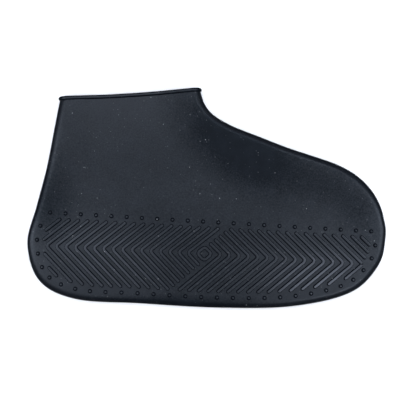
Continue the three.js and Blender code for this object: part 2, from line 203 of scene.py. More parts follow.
class OvershoeStage(PropertyGroup):
    """The camera, floor and lights."""

    camera_height: metres("Camera height", "Above the floor", 0.62)
    frame_width: metres("Frame width", "Width seen at the fold's height", 0.29084)
    centre: FloatVectorProperty(
        name="Picture centre", description="Point under the camera", default=(-0.0048, -0.00142), size=2
    )
    floor: rgb("Floor", "Floor colour", (0.93, 0.93, 0.93))
    light: rgb("Light", "Colour of sky and lights", (0.75, 0.83, 1.0))
    sky: FloatProperty(name="Sky", description="Strength overhead", default=0.565, min=0)
    horizon: FloatProperty(name="Horizon", description="Strength low down", default=0.065, min=0)
    side_lights: watts("Side lights, each", 0.56)
    far_light: watts("Far light", 0.66)
    near_light: watts("Near light", 0.5)
    fill_light: watts("Fill light", 34.0)


# Plain geometry helpers


def unit(vectors):
    """Vectors divided by their own lengths."""
    return vectors / np.linalg.norm(vectors, axis=-1, keepdims=True)


def left_of(vectors):
    """Plane vectors turned a quarter anticlockwise."""
    return np.stack([-vectors[..., 1], vectors[..., 0]], axis=-1)


def smoothstep(value, low, high):
    """3t^2 - 2t^3 of the share t of the way from low to high."""
    share = np.clip((value - low) / (high - low), 0, 1)
    return share * share * (3 - 2 * share)


def turned(vector, angle):
    """A plane vector turned by an angle."""
    c, s = np.cos(angle), np.sin(angle)
    return np.array([c * vector[0] - s * vector[1], s * vector[0] + c * vector[1]])


def turn_between(first, last):
    """The angle from one plane direction to another, anticlockwise."""
    return np.arctan2(first[0] * last[1] - first[1] * last[0], first @ last)


def tangents(line):
    """Unit directions along a line of points."""
    return unit(np.gradient(line, axis=0))


def run_along(line):
    """How far along a line of points each of them lies."""
    return np.concatenate([[0], np.cumsum(np.linalg.norm(np.diff(line, axis=0), axis=1))])


def points_at(distances, run, line):
    """Points on a line at given distances, where run holds the distance of each of its own points."""
    return np.stack([np.interp(distances, run, line[:, k]) for k in range(2)], axis=-1)


def catmull_rom(points, shares):
    """A smooth curve through the points: in each span the cubic whose slope at a point is half the step
    between its neighbours; the ends are carried on straight."""
    padded = np.vstack([2 * points[0] - points[1], points, 2 * points[-1] - points[-2]])
    place = shares * (len(points) - 1)
    index = np.minimum(place.astype(int), len(points) - 2)
    t = (place - index)[:, None]
    a, b, c, d = (padded[index + k] for k in range(4))
    return 0.5 * (2 * b + (c - a) * t + (2 * a - 5 * b + 4 * c - d) * t**2 + (3 * b - a - 3 * c + d) * t**3)


def grid_faces(rows, columns, wrap_rows=False, wrap_columns=False):
    """Quads of a grid of vertices numbered row by row; wrapped ways join their last line to their first."""
    r = np.arange(rows if wrap_rows else rows - 1)[:, None]
    c = np.arange(columns if wrap_columns else columns - 1)[None, :]
    r2, c2 = (r + 1) % rows, (c + 1) % columns
    quads = [r * columns + c, r * columns + c2, r2 * columns + c2, r2 * columns + c]
    return np.stack(np.broadcast_arrays(*quads), axis=-1).reshape(-1, 4)


def add_piece(name, vertices, faces):
    """A smooth mesh object at the origin from points and faces, on the body."""
    mesh = bpy.data.meshes.new(name)
    mesh.from_pydata(np.asarray(vertices, dtype=float).tolist(), [], [face.tolist() for face in faces])
    mesh.polygons.foreach_set("use_smooth", [True] * len(mesh.polygons))
    mesh.update()
    piece = bpy.data.objects.new(name, mesh)
    bpy.context.scene.collection.objects.link(piece)
    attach(piece, BODY)
    return piece


# The folded form


class Form:
    """The folded outline and the heights of its upper wall, in the frame's own place."""

    def __init__(self, sizes):
        self.sizes = sizes
        self.radius = sizes.thickness / 2
        self.middle_z = self.radius + sizes.relief
        scale = np.array([sizes.length, sizes.height])
        sole, instep = OUTLINE_PAIRS[:, :2] * scale, OUTLINE_PAIRS[:, 2:] * scale
        knots = np.vstack([sole, TOE_TIP * scale, instep[::-1]])
        self.outline = catmull_rom(knots, np.linspace(0, 1, 2 * STATIONS + 1))
        self.tread_middle = TREAD_MIDDLE * scale
        self.along_collar = unit(self.outline[-1] - self.outline[0])
        self.above_collar = left_of(self.along_collar)
        self.tread_along = turned(np.array([1.0, 0.0]), -sizes.tread_tilt)
        self.tread_up = left_of(self.tread_along)
        high = np.array([self.outline[:, 0].max(), self.outline[-1, 1]])
        self.shift = -(self.outline.min(axis=0) + high) / 2

    def edge_distance(self, points):
        """Each point's distance to the nearest segment of the outline, the collar's edge left out."""
        start = self.outline[:-1:OUTLINE_STRIDE]
        side = self.outline[OUTLINE_STRIDE::OUTLINE_STRIDE] - start
        found = []
        for block in np.array_split(points.reshape(-1, 2), max(1, points.size // NUMBERS_AT_ONCE)):
            offset = block[:, None] - start
            share = np.clip((offset * side).sum(-1) / (side**2).sum(-1), 0, 1)
            found.append(np.linalg.norm(offset - share[..., None] * side, axis=-1).min(1))
        return np.concatenate(found).reshape(points.shape[:-1])

    def above_studs(self, points):
        """How far each point lies beyond the straight stud row, towards the collar."""
        return (points - self.tread_middle) @ self.tread_up - self.sizes.tread_rise

    def sag(self, points):
        """Depth of the upper wall's sag: a smooth step in from the fold times one up from the tread."""
        s = self.sizes
        from_fold = smoothstep(self.edge_distance(points), self.radius, s.sag_reach)
        from_tread = smoothstep(self.above_studs(points), s.stud_diameter, s.sag_reach)
        return s.sag * from_fold * from_tread

    def end_at(self, first, height):
        """An end of the outline, at heel or throat, carried on to a height above the collar's edge."""
        end, before = (self.outline[0], self.outline[2]) if first else (self.outline[-1], self.outline[-3])
        direction = unit(end - before)
        return end + direction * height / (direction @ self.above_collar)

    def trimmed(self, level):
        """The outline cut off at a height against the collar's edge, resampled to the same count."""
        points = self.outline.copy()
        points[0], points[-1] = self.end_at(True, level), self.end_at(False, level)
        inside = (points - self.outline[0]) @ self.above_collar
        low = inside <= level
        low[0] = low[-1] = True
        kept = points[low]
        run = run_along(kept)
        tip = np.argmax(kept[:, 0])
        sole = np.linspace(0, run[tip], STATIONS + 1)
        instep = np.linspace(run[tip], run[-1], STATIONS + 1)[1:]
        return points_at(np.concatenate([sole, instep]), run, kept)

    def inward(self, outline):
        """Inward directions along an open outline: the left normals, eased at both ends into the collar's."""
        direction = normal = left_of(tangents(outline))
        run = run_along(outline)
        ease = self.sizes.sag_reach * MOUTH_EASE
        for towards, distance in ((self.along_collar, run), (-self.along_collar, run[-1] - run)):
            weight = 1 - smoothstep(distance, 0, ease)[:, None]
            direction = unit(direction * (1 - weight) + towards * weight)
        return direction / (direction * normal).sum(-1, keepdims=True)

    def placed(self, points, z):
        """Plane points and heights over the middle plane, moved to the frame's place."""
        z = np.broadcast_to(z + self.middle_z, points.shape[:-1])
        return np.concatenate([points + self.shift, z[..., None]], axis=-1)


def wall_surface(form, inset):
    """One skin of the shell, outer or inner: a strip round the fold and a field of lines across each face.

    Round the fold, a point at angle a lies inset + r (1 - cos a) in from the outline and r sin a from the
    middle plane. Across a face, straight lines join the fold's two sides, pair by pair from collar to toe,
    and the upper face lies lower by the sag. The last value is the loop of vertices round the mouth."""
    outline = form.trimmed(-form.sizes.bead_height / 2)
    radius = form.radius - inset
    rows, count, cells = 2 * FOLD_STEPS + 1, len(outline), STATIONS * FACE_COLUMNS
    angle = np.linspace(-np.pi / 2, np.pi / 2, rows)[:, None]
    depth = inset + radius * (1 - np.cos(angle))
    flat = outline + form.inward(outline) * depth[..., None]
    height = radius * np.sin(angle) - np.clip(np.sin(angle), 0, 1) * form.sag(flat)
    vertices, faces = [form.placed(flat, height).reshape(-1, 3)], [grid_faces(rows, count)]
    share = np.linspace(0, 1, FACE_COLUMNS + 2)[None, 1:-1, None]
    first_upper, first_lower = rows * count, rows * count + cells
    for row, first, upper in ((rows - 1, first_upper, True), (0, first_lower, False)):
        sole, instep = flat[row, :STATIONS], flat[row, :STATIONS:-1]
        inner = sole[:, None] * (1 - share) + instep[:, None] * share
        z = radius - form.sag(inner) if upper else -radius
        vertices.append(form.placed(inner, z).reshape(-1, 3))
        numbers = np.empty((STATIONS, FACE_COLUMNS + 2), dtype=int)
        numbers[:, 0] = row * count + np.arange(STATIONS)
        numbers[:, -1] = row * count + count - 1 - np.arange(STATIONS)
        numbers[:, 1:-1] = first + np.arange(cells).reshape(STATIONS, FACE_COLUMNS)
        quads = [numbers[1:, :-1], numbers[1:, 1:], numbers[:-1, 1:], numbers[:-1, :-1]]
        quads = np.stack(quads, axis=-1).reshape(-1, 4)
        tip = np.full(FACE_COLUMNS + 1, row * count + STATIONS)
        fan = np.stack([tip, numbers[-1, 1:], numbers[-1, :-1]], axis=-1)
        faces += [quads, fan] if upper else [quads[:, ::-1], fan[:, ::-1]]
    heel, throat = np.arange(rows) * count, np.arange(rows)[::-1] * count + count - 1
    across = np.arange(FACE_COLUMNS)
    mouth = np.concatenate([heel, first_upper + across, throat, first_lower + across[::-1]])
    return np.vstack(vertices), faces, mouth


def shell_surface(form):
    """The outer and inner skins and the strip between them at the mouth."""
    outer, outer_faces, outer_mouth = wall_surface(form, 0.0)
    inner, inner_faces, inner_mouth = wall_surface(form, form.sizes.wall)
    inner_faces = [block[:, ::-1] + len(outer) for block in inner_faces]
    inner_mouth = inner_mouth + len(outer)
    rim = [outer_mouth, np.roll(outer_mouth, -1), np.roll(inner_mouth, -1), inner_mouth]
    return np.vstack([outer, inner]), [*outer_faces, *inner_faces, np.stack(rim, axis=-1)]


def bead_surface(form):
    """The collar's bead: a D-shaped section carried round the mouth's long loop, flush inside the wall.

    The section is a full half oval, out = d (cos p)^q and up = h sin p, with q the bead's squareness, closed
    straight on the inside.
    The loop is two straights and two half circles, and its straights bow down by the dip."""
    s = form.sizes
    level = -s.bead_height / 2
    heel = form.end_at(True, level) + form.along_collar * form.radius
    throat = form.end_at(False, level) - form.along_collar * form.radius
    straight, bend = np.linalg.norm(throat - heel), np.pi * form.radius
    run = np.linspace(0, 2 * (straight + bend), BEAD_LOOP_STEPS, endpoint=False)
    on_upper = (run >= bend) & (run < bend + straight)
    on_heel = (run >= bend + straight) & (run < 2 * bend + straight)
    on_lower = run >= 2 * bend + straight
    angle = np.select(
        [on_lower, on_heel, on_upper],
        [np.full_like(run, 1.5 * np.pi), np.pi / 2 + (run - bend - straight) / form.radius, np.pi / 2],
        run / form.radius - np.pi / 2,
    )
    share = np.select(
        [on_lower, on_heel, on_upper],
        [1 - (run - 2 * bend - straight) / straight, 1, (run - bend) / straight],
        0,
    )
    middle = throat + (heel - throat) * share[:, None]
    dip = s.bead_dip * np.sin(share * np.pi)
    sag = form.sag(middle) * np.clip(np.sin(angle), 0, 1)
    p = np.linspace(-np.pi / 2, np.pi / 2, BEAD_SECTION_STEPS)
    bulge = np.clip(np.cos(p), 0, 1) ** BEAD_SQUARENESS
    reach = form.radius - s.wall + (s.wall + s.bead_out) * bulge
    rise = s.bead_height / 2 * np.sin(p)
    flat = (
        middle[:, None]
        + form.along_collar * (reach * np.cos(angle)[:, None])[..., None]
        + form.above_collar * (rise - dip[:, None])[..., None]
    )
    z = reach * np.sin(angle)[:, None] - sag[:, None]
    points = form.placed(flat, z)
    return points.reshape(-1, 3), [grid_faces(BEAD_LOOP_STEPS, BEAD_SECTION_STEPS, True, True)]


# The tread


def tread_field(form, margin, drop):
    """The outline moved inwards by a margin and cut off below the straight stud row, anticlockwise."""
    loop = form.outline + left_of(tangents(form.outline)) * margin
    above = form.above_studs(loop) + drop
    low = np.flatnonzero(above <= 0)
    first, last = low[0], low[-1]
    ends = [
        loop[k] + (loop[k + 1] - loop[k]) * above[k] / (above[k] - above[k + 1]) for k in (first - 1, last)
    ]
    return np.vstack([ends[0], loop[first : last + 1], ends[1]])


def span_inside(loop, start, direction):
    """Where a line runs inside a convex loop, as two distances along it, or None."""
    side = np.roll(loop, -1, axis=0) - loop
    offset = loop - start
    across = direction[0] * side[:, 1] - direction[1] * side[:, 0]
    share = (offset[:, 0] * direction[1] - offset[:, 1] * direction[0]) / across
    distance = (offset[:, 0] * side[:, 1] - offset[:, 1] * side[:, 0]) / across
    hits = distance[(share >= 0) & (share < 1)]
    return (hits.min(), hits.max()) if len(hits) > 1 else None


def chevron_paths(form):
    """The middle lines of all ribs, as pairs or triples of points.

    Heel chevrons open towards the toe and toe chevrons towards the heel, one pitch apart. The arm that leans
    the other way stops short of the first rib of the other group."""
    s = form.sizes
    field = tread_field(form, s.stud_margin + s.stud_to_rib, s.stud_to_rib) + form.tread_along * s.rib_shift
    paths = []
    heel_arms, toe_arms = (s.upper_angle, -s.lower_angle), (s.lower_angle + np.pi, np.pi - s.upper_angle)
    for sense, turns, stop_angle in ((-1, heel_arms, s.lower_angle), (1, toe_arms, s.upper_angle)):
        through, short = (turned(form.tread_along, angle) for angle in turns)
        line, other_line = (turned(form.tread_along, turn * s.tread_bow) * sense for turn in (-sense, sense))
        stop_at = form.tread_middle - other_line * (s.ring_half + s.rib_pitch)
        stop_normal = -sense * turned(form.tread_up, stop_angle)
        for k in range(1, int(np.ceil(s.length / s.rib_pitch)) + 1):
            apex = form.tread_middle + line * (s.ring_half + k * s.rib_pitch)
            arms = []
            for direction, stops in ((through, False), (short, True)):
                span = span_inside(field, apex, direction)
                if span is None:
                    continue
                low, high = max(span[0] + s.rib_width / 2, 0), span[1] - s.rib_width / 2
                if stops:
                    away = (apex - stop_at) @ stop_normal - s.rib_width - s.rib_gap
                    high = min(high, away / -(direction @ stop_normal))
                if high - low > s.shortest_rib:
                    arms.append((direction, low, high))
            if len(arms) == 2 and all(low == 0 for _, low, _ in arms):
                paths.append([apex + arms[0][0] * arms[0][2], apex, apex + arms[1][0] * arms[1][2]])
            else:
                paths += [[apex + d * low, apex + d * high] for d, low, high in arms]
    return paths


def rib_profile(s):
    """A rib's section as rings from foot to crown: its half width on the side that faces the diamond ring, on
    the other side, and the height."""
    foot, flank = s.rib_width / 2, (s.rib_width - s.rib_top) / 2
    inner, outer = foot - RIB_SECTION[:, :2].T * flank
    return inner, outer, RIB_SECTION[:, 2] * s.relief


def rounded_path(path, radius):
    """A path of two or three points with its corner rounded to a circle, as points and unit directions. A
    straight path gets as many points as a rounded one."""
    path = np.array(path)
    first, last = unit(path[1] - path[0]), unit(path[-1] - path[-2])
    if len(path) == 2:
        shares = np.linspace(0, 1, RIB_CORNER_STEPS + 3)[:, None]
        return path[0] + (path[1] - path[0]) * shares, np.broadcast_to(first, (len(shares), 2))
    turn = turn_between(first, last)
    reach = radius * np.tan(abs(turn) / 2)
    sweep = np.linspace(0, turn, RIB_CORNER_STEPS + 1)
    centre = path[1] - first * reach + left_of(first) * radius * np.sign(turn)
    directions = np.stack([turned(first, a) for a in sweep])
    points = centre - left_of(directions) * radius * np.sign(turn)
    return np.vstack([path[0], points, path[2]]), np.vstack([first, directions, last])


def out_and_back(rows, turns):
    """Rows in order and back again, with the row at each end repeated for the points that go round it."""
    return np.vstack([rows, np.repeat(rows[-1:], turns, 0), rows[::-1], np.repeat(rows[:1], turns, 0)])


def rib_loops(path, s, ring):
    """A rib's plan at each ring of its section: the middle line moved right and left, joined round the ends
    by half circles, and leaning towards the diamond ring, as an array of rings by loop points."""
    points, directions = rounded_path(path, s.rib_width * RIB_CORNER)
    right = -left_of(directions)
    half = np.linspace(0, np.pi, RIB_END_STEPS)[1:-1]
    far = np.stack([turned(right[-1], a) for a in half])
    near = np.stack([turned(-right[0], a) for a in half])
    middles, across = (out_and_back(rows, len(half)) for rows in (points, right))
    outward = np.vstack([right, far, -right[::-1], near])
    halfway = len(points) // 2
    towards = np.sign((ring - points[halfway]) @ right[halfway])
    inner, outer, heights = rib_profile(s)
    widths, shifts = (inner + outer) / 2, (inner - outer) / 2 * towards
    plan = middles + outward * widths[:, None, None] + across * shifts[:, None, None]
    return plan, np.broadcast_to(heights[:, None], plan.shape[:-1])


def both_walls(form, plan, heights, faces):
    """A relief's points over the upper wall and, mirrored, under the lower one, with its blocks of faces."""
    upper = form.placed(plan, form.radius + heights).reshape(-1, 3)
    lower = upper * [1, 1, -1] + [0, 0, 2 * form.middle_z]
    both = [block for kind in faces for block in (kind, kind[:, ::-1] + len(upper))]
    return np.vstack([upper, lower]), both


def lid_faces(around):
    """Quads that close a rib's loop from side to side, from the middle of one end to that of the other."""
    loop = np.roll(np.arange(around), RIB_END_STEPS // 2 - 1)
    step = np.arange(around // 2 - 1)
    return loop[np.stack([step, step + 1, around - 2 - step, around - 1 - step], axis=-1)]


def rib_surface(form):
    """All ribs and the diamond ring, on both walls, as one mesh."""
    reliefs = []
    for path in chevron_paths(form):
        plan, heights = rib_loops(path, form.sizes, form.tread_middle)
        rings, around = plan.shape[:2]
        lid = lid_faces(around)
        skin = [grid_faces(rings, around, wrap_columns=True), lid + (rings - 1) * around, lid[:, ::-1]]
        reliefs.append(both_walls(form, plan, heights, [np.vstack(skin)]))
    plan, heights = ring_loops(form)
    reliefs.append(both_walls(form, plan, heights, [grid_faces(*plan.shape[:2], True, True)]))
    vertices, faces, size = [], [], 0
    for points, blocks in reliefs:
        vertices.append(points)
        faces += [block + size for block in blocks]
        size += len(points)
    return np.vstack(vertices), faces


def ring_loops(form):
    """The diamond ring: the rib's profile carried round a square path with rounded corners."""
    s = form.sizes
    half = s.ring_half
    corners = [(half, 0), (0, half * np.tan(s.upper_angle)), (-half, 0), (0, -half * np.tan(s.lower_angle))]
    path = np.array([form.tread_middle + form.tread_along * a + form.tread_up * b for a, b in corners])
    radius = s.rib_width * RIB_CORNER
    points, outward = [], []
    for i in range(len(path)):
        before, after = unit(path[i] - path[i - 1]), unit(path[(i + 1) % len(path)] - path[i])
        turn = turn_between(before, after)
        centre = path[i] - before * radius * np.tan(turn / 2) + left_of(before) * radius
        for a in np.linspace(0, turn, RIB_CORNER_STEPS + 1):
            way = turned(before, a)
            outward.append(-left_of(way))
            points.append(centre - left_of(way) * radius)
    inner, outer, heights = rib_profile(s)
    side = (inner + outer) / 2
    offsets = np.concatenate([side, -side[::-1]])
    heights = np.concatenate([heights, heights[::-1]])
    plan = np.array(points) + np.array(outward) * offsets[:, None, None]
    return plan, np.broadcast_to(heights[:, None], plan.shape[:-1])


def spaced_along(path, guide, spacing):
    """Points on a path, both ends included, spaced evenly as measured along a guide beside it."""
    run = run_along(guide)
    return points_at(np.linspace(0, run[-1], int(round(run[-1] / spacing)) + 1), run, path)


def stud_surface(form):
    """All studs on both walls: each turns a section of steep flank and small dome about its middle.

    The bent row's studs are spaced along the middle of the fold, which is half its radius in."""
    s = form.sizes
    row = tread_field(form, s.row_margin, 0)[[0, -1]]
    bend = tread_field(form, s.stud_margin, s.row_to_bend)
    fold = bend - left_of(tangents(bend)) * (s.stud_margin - form.radius / 2)
    middles = np.vstack([spaced_along(row, row, s.stud_spacing), spaced_along(bend, fold, s.bent_spacing)])
    offsets, heights = s.stud_diameter / 2 * STUD_SECTION[:, 0], s.relief * STUD_SECTION[:, 1]
    around = np.linspace(0, 2 * np.pi, STUD_SIDES, endpoint=False)
    circle = np.stack([np.cos(around), np.sin(around)], axis=-1)
    rings = middles[:, None, None] + circle * offsets[:-1, None, None]
    count, levels = rings.shape[:2]
    low = np.broadcast_to(heights[:-1, None], rings.shape[:-1])
    plan = np.vstack([rings.reshape(-1, 2), middles])
    tall = np.concatenate([low.reshape(-1), np.full(count, heights[-1])])
    side, top = np.arange(STUD_SIDES), (levels - 1) * STUD_SIDES
    first = np.arange(count)[:, None] * levels * STUD_SIDES
    quads = (grid_faces(levels, STUD_SIDES, wrap_columns=True) + first[..., None]).reshape(-1, 4)
    fans = np.stack([top + side, top + (side + 1) % STUD_SIDES], axis=-1) + first[..., None]
    tips = np.broadcast_to(np.arange(low.size, len(plan))[:, None, None], (*fans.shape[:2], 1))
    caps = np.concatenate([fans, tips], axis=-1).reshape(-1, 3)
    return both_walls(form, plan, tall, [quads, caps, side[::-1] + first])


# Materials


class Value:
    """A shader socket in an expression: arithmetic on it adds Math nodes."""

    def __init__(self, shader, socket):
        self.shader, self.socket = shader, socket

    def math(self, operation, *values):
        return self.shader.node("ShaderNodeMath", {"operation": operation}, values)

    def __add__(self, other):
        return self.math("ADD", self, other)

    def __sub__(self, other):
        return self.math("SUBTRACT", self, other)

    def __rsub__(self, other):
        return self.math("SUBTRACT", other, self)

    def __mul__(self, other):
        return self.math("MULTIPLY", self, other)

    def __truediv__(self, other):
        return self.math("DIVIDE", self, other)

    def __pow__(self, other):
        return self.math("POWER", self, other)

    def clamped(self):
        return self.shader.node("ShaderNodeClamp", {}, [self])

    def step(self, low, high):
        """A smooth step from 0 at low to 1 at high."""
        return self.shader.node("ShaderNodeMapRange", {"interpolation_type": "SMOOTHSTEP"}, [self, low, high])

    def swing(self, amount):
        """How far a noise swings about its middle, times an amount."""
        return (self - 0.5) * amount

    def magnitude(self):
        return self.math("ABSOLUTE", self)

    __radd__ = __add__


class Nodes:
    """A node tree, filled by expressions."""

    def __init__(self, tree):
        self.tree = tree

    def node(self, kind, settings, sockets, output=0):
        """A node of a type with its settings, its inputs by place or by name, and one of its outputs."""
        made = self.tree.nodes.new(kind)
        for key, value in settings.items():
            setattr(made, key, value)
        pairs = sockets.items() if isinstance(sockets, dict) else enumerate(sockets)
        for key, value in pairs:
            self.feed(made.inputs[key], value)
        return Value(self, made.outputs[output])

    def feed(self, socket, value):
        """Link a value to a socket, or set it."""
        if isinstance(value, Value):
            self.tree.links.new(value.socket, socket)
        else:
            socket.default_value = value

    def split(self, value, kind="ShaderNodeSeparateXYZ"):
        """The three numbers of a vector, or of a colour."""
        made = self.node(kind, {}, [value]).socket.node
        return [Value(self, output) for output in made.outputs]


class Shader(Nodes):
    """A material of one shader, with its node tree."""

    def __init__(self, name):
        self.material = bpy.data.materials.new(name)
        self.material.use_nodes = True
        super().__init__(self.material.node_tree)
        self.surface = next(n for n in self.tree.nodes if n.type == "BSDF_PRINCIPLED")

    def set(self, **inputs):
        """Feed the surface's own sockets, named with underscores for spaces."""
        for key, value in inputs.items():
            self.feed(self.surface.inputs[key.replace("_", " ")], value)

    def coordinates(self, kind):
        return self.node("ShaderNodeTexCoord", {}, [], kind)

    def noise(self, place, scale, detail, roughness):
        sockets = {"Vector": place, "Scale": scale, "Detail": detail, "Roughness": roughness}
        return self.node("ShaderNodeTexNoise", {}, sockets, "Fac")

    def cells(self, place, scale, output="Distance"):
        return self.node("ShaderNodeTexVoronoi", {}, {"Vector": place, "Scale": scale}, output)

    def mix(self, factor, first, second):
        """A colour between two colours."""
        made = self.tree.nodes.new("ShaderNodeMix")
        made.data_type = "RGBA"
        for socket, value in ((made.inputs[0], factor), (made.inputs[6], first), (made.inputs[7], second)):
            self.feed(socket, value)
        return Value(self, made.outputs[2])

    def bump(self, height, distance, strength):
        sockets = {"Height": height, "Distance": distance, "Strength": strength}
        return self.node("ShaderNodeBump", {}, sockets)


# Broad patches where the rubber is glossier or duller than elsewhere: middle x, y and half sizes along and
# across, in metres, the turn in degrees, how much gloss is added, and the share of it on the rounded fold.
GLOSS_PATCHES = (
    {"x": -0.060, "y": 0.068, "along": 0.090, "across": 0.044, "turn": 4, "gloss": 0.30, "fold": 1},
    {"x": 0.024, "y": 0.040, "along": 0.085, "across": 0.042, "turn": -40, "gloss": -1.10, "fold": 0},
    {"x": 0.094, "y": 0.006, "along": 0.050, "across": 0.030, "turn": -35, "gloss": -0.45, "fold": 1},
    {"x": -0.114, "y": -0.004, "along": 0.030, "across": 0.050, "turn": 0, "gloss": -0.66, "fold": 1},
    {"x": 0.114, "y": -0.018, "along": 0.026, "across": 0.034, "turn": 0, "gloss": -0.30, "fold": 1},
    {"x": 0.074, "y": -0.052, "along": 0.072, "across": 0.044, "turn": -4, "gloss": 0.70, "fold": 1},
    {"x": -0.080, "y": -0.046, "along": 0.070, "across": 0.046, "turn": -4, "gloss": 0.85, "fold": 1},
    {"x": -0.020, "y": -0.0775, "along": 0.110, "across": 0.010, "turn": -2, "gloss": -1.00, "fold": 1},
)

# Where the ribs' crowns get a painted highlight, a pale colour that stands in for the light they catch, and
# how strongly. The number after these is how strongly it is painted on the crowns everywhere.
PAINTED_CROWN_HIGHLIGHTS = (
    {"x": 0.082, "y": -0.061, "along": 0.052, "across": 0.030, "turn": 0, "crown_highlight": 0.20},
    {"x": -0.074, "y": -0.042, "along": 0.052, "across": 0.034, "turn": -20, "crown_highlight": 0.055},
)
PAINTED_HIGHLIGHT_EVERYWHERE = 0.015

# Noises in the rubber: features per metre, detail and roughness
NOISES = {
    "cloud": (24.0, 3.0, 0.5),
    "bloom": (110.0, 4.0, 0.65),
    "pebble": (900.0, 3.0, 0.6),
    "grain": (1900.0, 2.0, 0.5),
}

# Specks of dust: cells per metre, where a speck's edge starts and ends as shares of a cell, and the share of
# the cells that hold one. The finer ones are weaker, and a few specks in each kind are fainter than the rest.
SPECKS = {"dust": (260.0, 0.03, 0.10, 0.60), "fine": (640.0, 0.07, 0.22, 0.26)}
FINE_STRENGTH = 0.38
FAINT_SHARE = 0.03

# How far the noises swing the gloss and the roughness, and what dust adds to the roughness
CLOUD_GLOSS, BLOOM_GLOSS, PEBBLE_GLOSS = 0.10, 0.10, 1.2
BLOOM_ROUGHNESS, DUST_ROUGHNESS = 0.12, 0.25

# Smooth steps from one value to another. Slope is the height of the unit normal, and rise is the height over
# the wall as a share of the tread's relief.
FLAT_SLOPE = (0.90, 0.985)
BEAD_CROWN_SLOPE = (0.80, 0.98)
FLANK_FOOT_RISE = (0.03, 0.12)
FLANK_TOP_RISE = (0.88, 0.97)
# How high on a rib the painted highlight on the crown is laid
PAINTED_HIGHLIGHT_RISE = (0.97, 1.0)
BLOOM_TONE = (0.35, 0.75)

# Shares of the gloss and of the roughness that a flank of the tread or of the bead loses
FLANK_GLOSS_LOSS, FLANK_ROUGHNESS_LOSS = 0.9, 0.60

# The base colour times each of these is the rubber's deep and its light tone
DEEP_TONE, LIGHT_TONE = 1.2, 1.7
# The pale colour of the painted highlight on the ribs' crowns, then the colour of dust
PAINTED_HIGHLIGHT_COLOUR = (0.24, 0.26, 0.31, 1)
DUST_COLOUR = (0.42, 0.44, 0.46, 1)

# The moulding's texture: shares of the two noises in its height, its depth in metres and its strength
PEBBLE_HEIGHT, GRAIN_HEIGHT = 0.6, 0.4
BUMP_DEPTH, BUMP_STRENGTH = 0.00005, 0.6

# Refractive indices of the rubber's body and of its glossy skin
BODY_IOR, SKIN_IOR = 1.265, 1.5


def patch(shader, place, form):
    """A soft oval mask: 1 in its middle, falling by a smooth step to 0 at its edge."""
    turn = np.radians(form["turn"])
    centre = (form["x"], form["y"], 0)
    offset = shader.node("ShaderNodeVectorMath", {"operation": "SUBTRACT"}, [place, centre])
    x, y, _ = shader.split(offset)
    along = (x * np.cos(turn) + y * np.sin(turn)) / form["along"]
    across = (y * np.cos(turn) - x * np.sin(turn)) / form["across"]
    return 1.0 - ((along * along + across * across) ** 0.5).step(0.0, 1.0)


def specks(shader, place, scale, low, high, share):
    """Round specks of uneven strength in a share of the cells."""
    near = shader.cells(place, scale)
    red, green, _ = shader.split(shader.cells(place, scale, "Color"), "ShaderNodeSeparateColor")
    return (1.0 - near.step(low, high)) * red.step(1 - share, 1 - share + FAINT_SHARE) * (green * green)


def rubber(finish, sizes, name, bead=False):
    """Satin black silicone: a fine moulding grain, a gloss that varies in broad patches, and pale dust.

    The flanks of the tread are found from their height over the wall, and those of the bead from their
    slope. They are smoother than the rest, and less glossy."""
    shader = Shader(name)
    place = shader.coordinates("Object")
    cloud, bloom, pebble, grain = (shader.noise(place, *noise) for noise in NOISES.values())
    dust, fine = (specks(shader, place, *kind) for kind in SPECKS.values())
    slope = shader.split(shader.coordinates("Normal"))[2].magnitude()
    height = shader.split(place)[2] - (sizes.thickness / 2 + sizes.relief)
    rise = (height.magnitude() - sizes.thickness / 2) / sizes.relief
    if bead:
        flank = 1.0 - slope.step(*BEAD_CROWN_SLOPE)
    else:
        flank = rise.step(*FLANK_FOOT_RISE) * (1.0 - rise.step(*FLANK_TOP_RISE))
    gloss = finish.gloss + cloud.swing(CLOUD_GLOSS) + bloom.swing(BLOOM_GLOSS) + pebble.swing(PEBBLE_GLOSS)
    flat = slope.step(*FLAT_SLOPE)
    for form in GLOSS_PATCHES:
        reach = flat * (1.0 - form["fold"]) + form["fold"]
        gloss = gloss + patch(shader, place, form) * reach * form["gloss"]
    gloss = gloss * (1.0 - flank * FLANK_GLOSS_LOSS)
    deep, light = (tuple(value * tone for value in finish.colour) + (1,) for tone in (DEEP_TONE, LIGHT_TONE))
    base = shader.mix(bloom.step(*BLOOM_TONE), deep, light)
    # Painted highlight: the crowns of the ribs are mixed towards a pale colour where they would catch the
    # light, more so in two patches
    crown_highlight = PAINTED_HIGHLIGHT_EVERYWHERE
    for form in PAINTED_CROWN_HIGHLIGHTS:
        crown_highlight = patch(shader, place, form) * form["crown_highlight"] + crown_highlight
    base = shader.mix(rise.step(*PAINTED_HIGHLIGHT_RISE) * crown_highlight, base, PAINTED_HIGHLIGHT_COLOUR)
    dusty = (dust * finish.specks + fine * finish.specks * FINE_STRENGTH).clamped()
    base = shader.mix(dusty, base, DUST_COLOUR)
    roughness = finish.roughness + bloom.swing(BLOOM_ROUGHNESS) + dust * DUST_ROUGHNESS
    shader.set(
        Base_Color=base,
        Roughness=roughness * (1.0 - flank * FLANK_ROUGHNESS_LOSS),
        IOR=BODY_IOR,
        Specular_Tint=(*finish.tint, 1),
        Coat_Weight=gloss.clamped(),
        Coat_Roughness=finish.roughness,
        Coat_IOR=SKIN_IOR,
        Normal=shader.bump(pebble * PEBBLE_HEIGHT + grain * GRAIN_HEIGHT, BUMP_DEPTH, BUMP_STRENGTH),
    )
    return shader.material


# Stage


